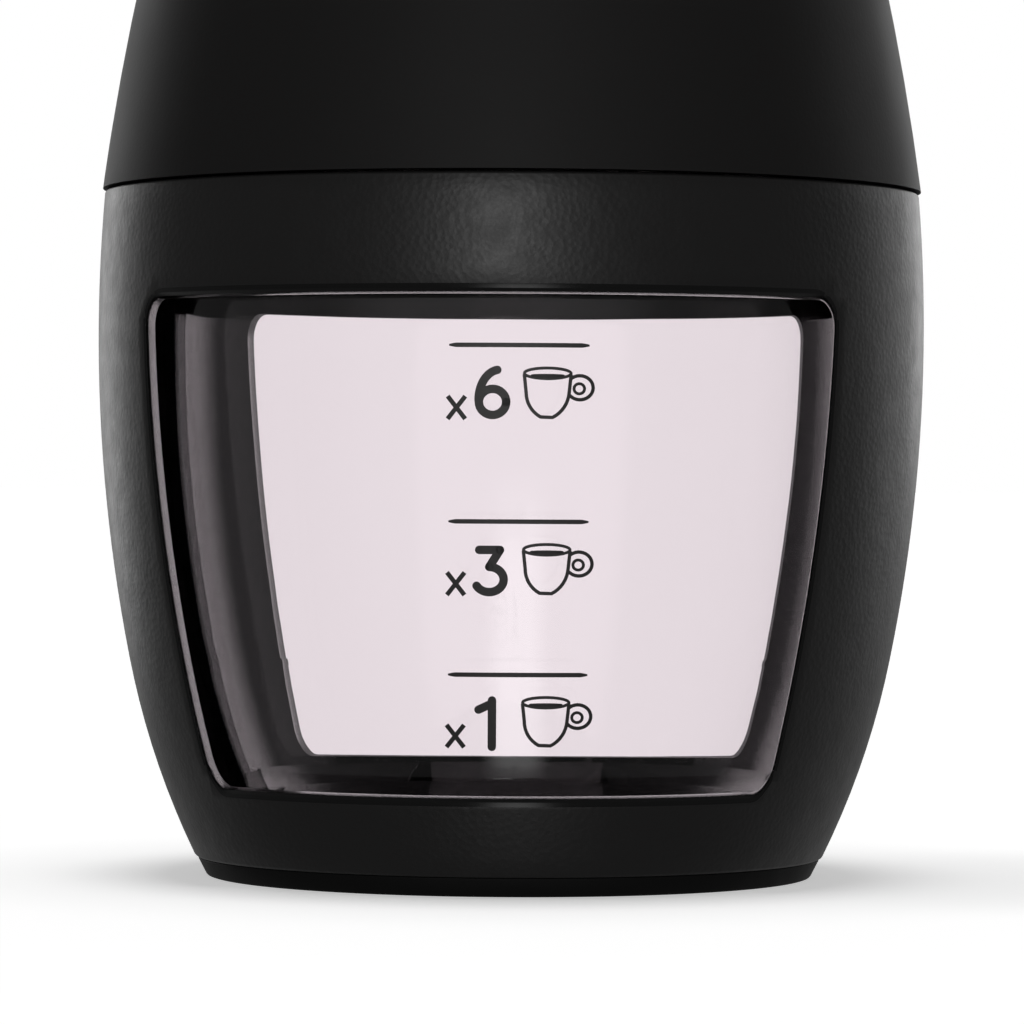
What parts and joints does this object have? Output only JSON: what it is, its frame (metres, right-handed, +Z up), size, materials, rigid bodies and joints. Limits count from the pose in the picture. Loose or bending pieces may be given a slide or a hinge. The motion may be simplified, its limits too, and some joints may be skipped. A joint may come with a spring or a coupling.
{
  "type": "hand crank coffee grinder",
  "caption": "Hand crank coffee grinder with a waisted black mill body, conical burrs and a barrel-shaped container with a clear jar seen through two windows.",
  "frame": {"origin": "middle of the base pad's underside, on the axis of the grinder", "axes": "+Z up along the shaft, -Y to the front, the middle of one jar window; the crank at rest points to +X"},
  "size_m": [0.1241, 0.07, 0.206],
  "materials": {
    "textured_black": "satin black plastic with a fine leathery grain",
    "clear_jar": "clear moulded plastic, gloss",
    "black_silicone": "matte silicone",
    "grey_silicone": "translucent grey silicone",
    "soft_touch_black": "soft-touch coated, matte",
    "core_black": "moulded, semi-matte",
    "hopper_black": "moulded, semi-matte",
    "zinc_steel": "zinc plated",
    "white_acetal": "natural acetal",
    "white_ceramic": "fired, unglazed",
    "ground_steel": "ground",
    "spring_steel": "oiled",
    "nut_black": "moulded, semi-matte",
    "brass": "turned",
    "smoked_clear": "lightly smoked clear plastic, gloss",
    "hub_steel": "turned",
    "brushed_arm": "brushed along its length",
    "polished_steel": "polished",
    "knob_black": "soft-touch coated, matte"
  },
  "bodies": {
    "container": {"container_shell": "textured_black", "grounds_jar": "clear_jar", "base_pad": "black_silicone"},
    "lift_ring": {"neck_gasket": "grey_silicone"},
    "mill": {"mill_casing": "soft_touch_black", "burr_housing": "core_black", "bearing_bridge": "core_black", "hopper": "hopper_black", "hopper_rim": "hopper_black", "housing_screws": "zinc_steel", "retaining_ring": "core_black", "retainer_screws": "zinc_steel", "upper_bridge": "core_black", "upper_bushing": "white_acetal", "lower_bushing": "white_acetal", "outer_burr": "white_ceramic"},
    "shaft": {"drive_shaft": "ground_steel", "thrust_washer": "ground_steel", "shaft_clip": "spring_steel", "burr_spring": "spring_steel"},
    "burr": {"inner_burr": "white_ceramic", "burr_carrier": "core_black", "click_plate": "ground_steel", "spring_washer": "ground_steel"},
    "nut": {"adjusting_nut": "nut_black", "nut_insert": "brass"},
    "lid": {"lid": "smoked_clear", "lid_seal": "grey_silicone", "lid_bushing": "white_acetal"},
    "crank": {"crank_hub": "hub_steel", "hub_clip": "spring_steel", "crank_arm": "brushed_arm", "arm_washer": "polished_steel", "cap_nut": "polished_steel", "knob_pin": "polished_steel", "pin_washer": "ground_steel"},
    "knob": {"knob": "knob_black", "knob_plug": "knob_black", "knob_bushing": "white_acetal"}
  },
  "joints": [
    {"name": "container_lift", "type": "slide", "parent": "container", "child": "lift_ring", "axis": [0, 0, 1], "range_m": [0, 0.0091]},
    {"name": "container_unscrew", "type": "hinge", "parent": "lift_ring", "child": "mill", "pos_m": [0, 0, 0.062], "axis": [0, 0, 1], "range_deg": [0, 270]},
    {"name": "shaft_spin", "type": "hinge", "parent": "mill", "child": "shaft", "pos_m": [0, 0, 0.1], "axis": [0, 0, 1], "continuous": true},
    {"name": "burr_gap", "type": "slide", "parent": "shaft", "child": "burr", "axis": [0, 0, -1], "range_m": [0, 0.0015], "deforming": ["burr_spring"]},
    {"name": "nut_turn", "type": "hinge", "parent": "burr", "child": "nut", "pos_m": [0, 0, 0.056], "axis": [0, 0, -1], "range_deg": [0, 541]},
    {"name": "lid_off", "type": "slide", "parent": "mill", "child": "lid", "axis": [0, 0, 1], "range_m": [0, 0.04]},
    {"name": "crank_turn", "type": "hinge", "parent": "lid", "child": "crank", "pos_m": [0, 0, 0.163], "axis": [0, 0, 1], "continuous": true},
    {"name": "knob_spin", "type": "hinge", "parent": "crank", "child": "knob", "pos_m": [0.075, 0, 0.186], "axis": [0, 0, 1], "continuous": true}
  ],
  "couplings": [
    {"joint": "container_lift", "follows": "container_unscrew", "m_per_rad": 0.0019099},
    {"joint": "shaft_spin", "follows": "crank_turn", "ratio": 1},
    {"joint": "nut_turn", "follows": "burr_gap", "rad_per_m": 6283.2}
  ]
}
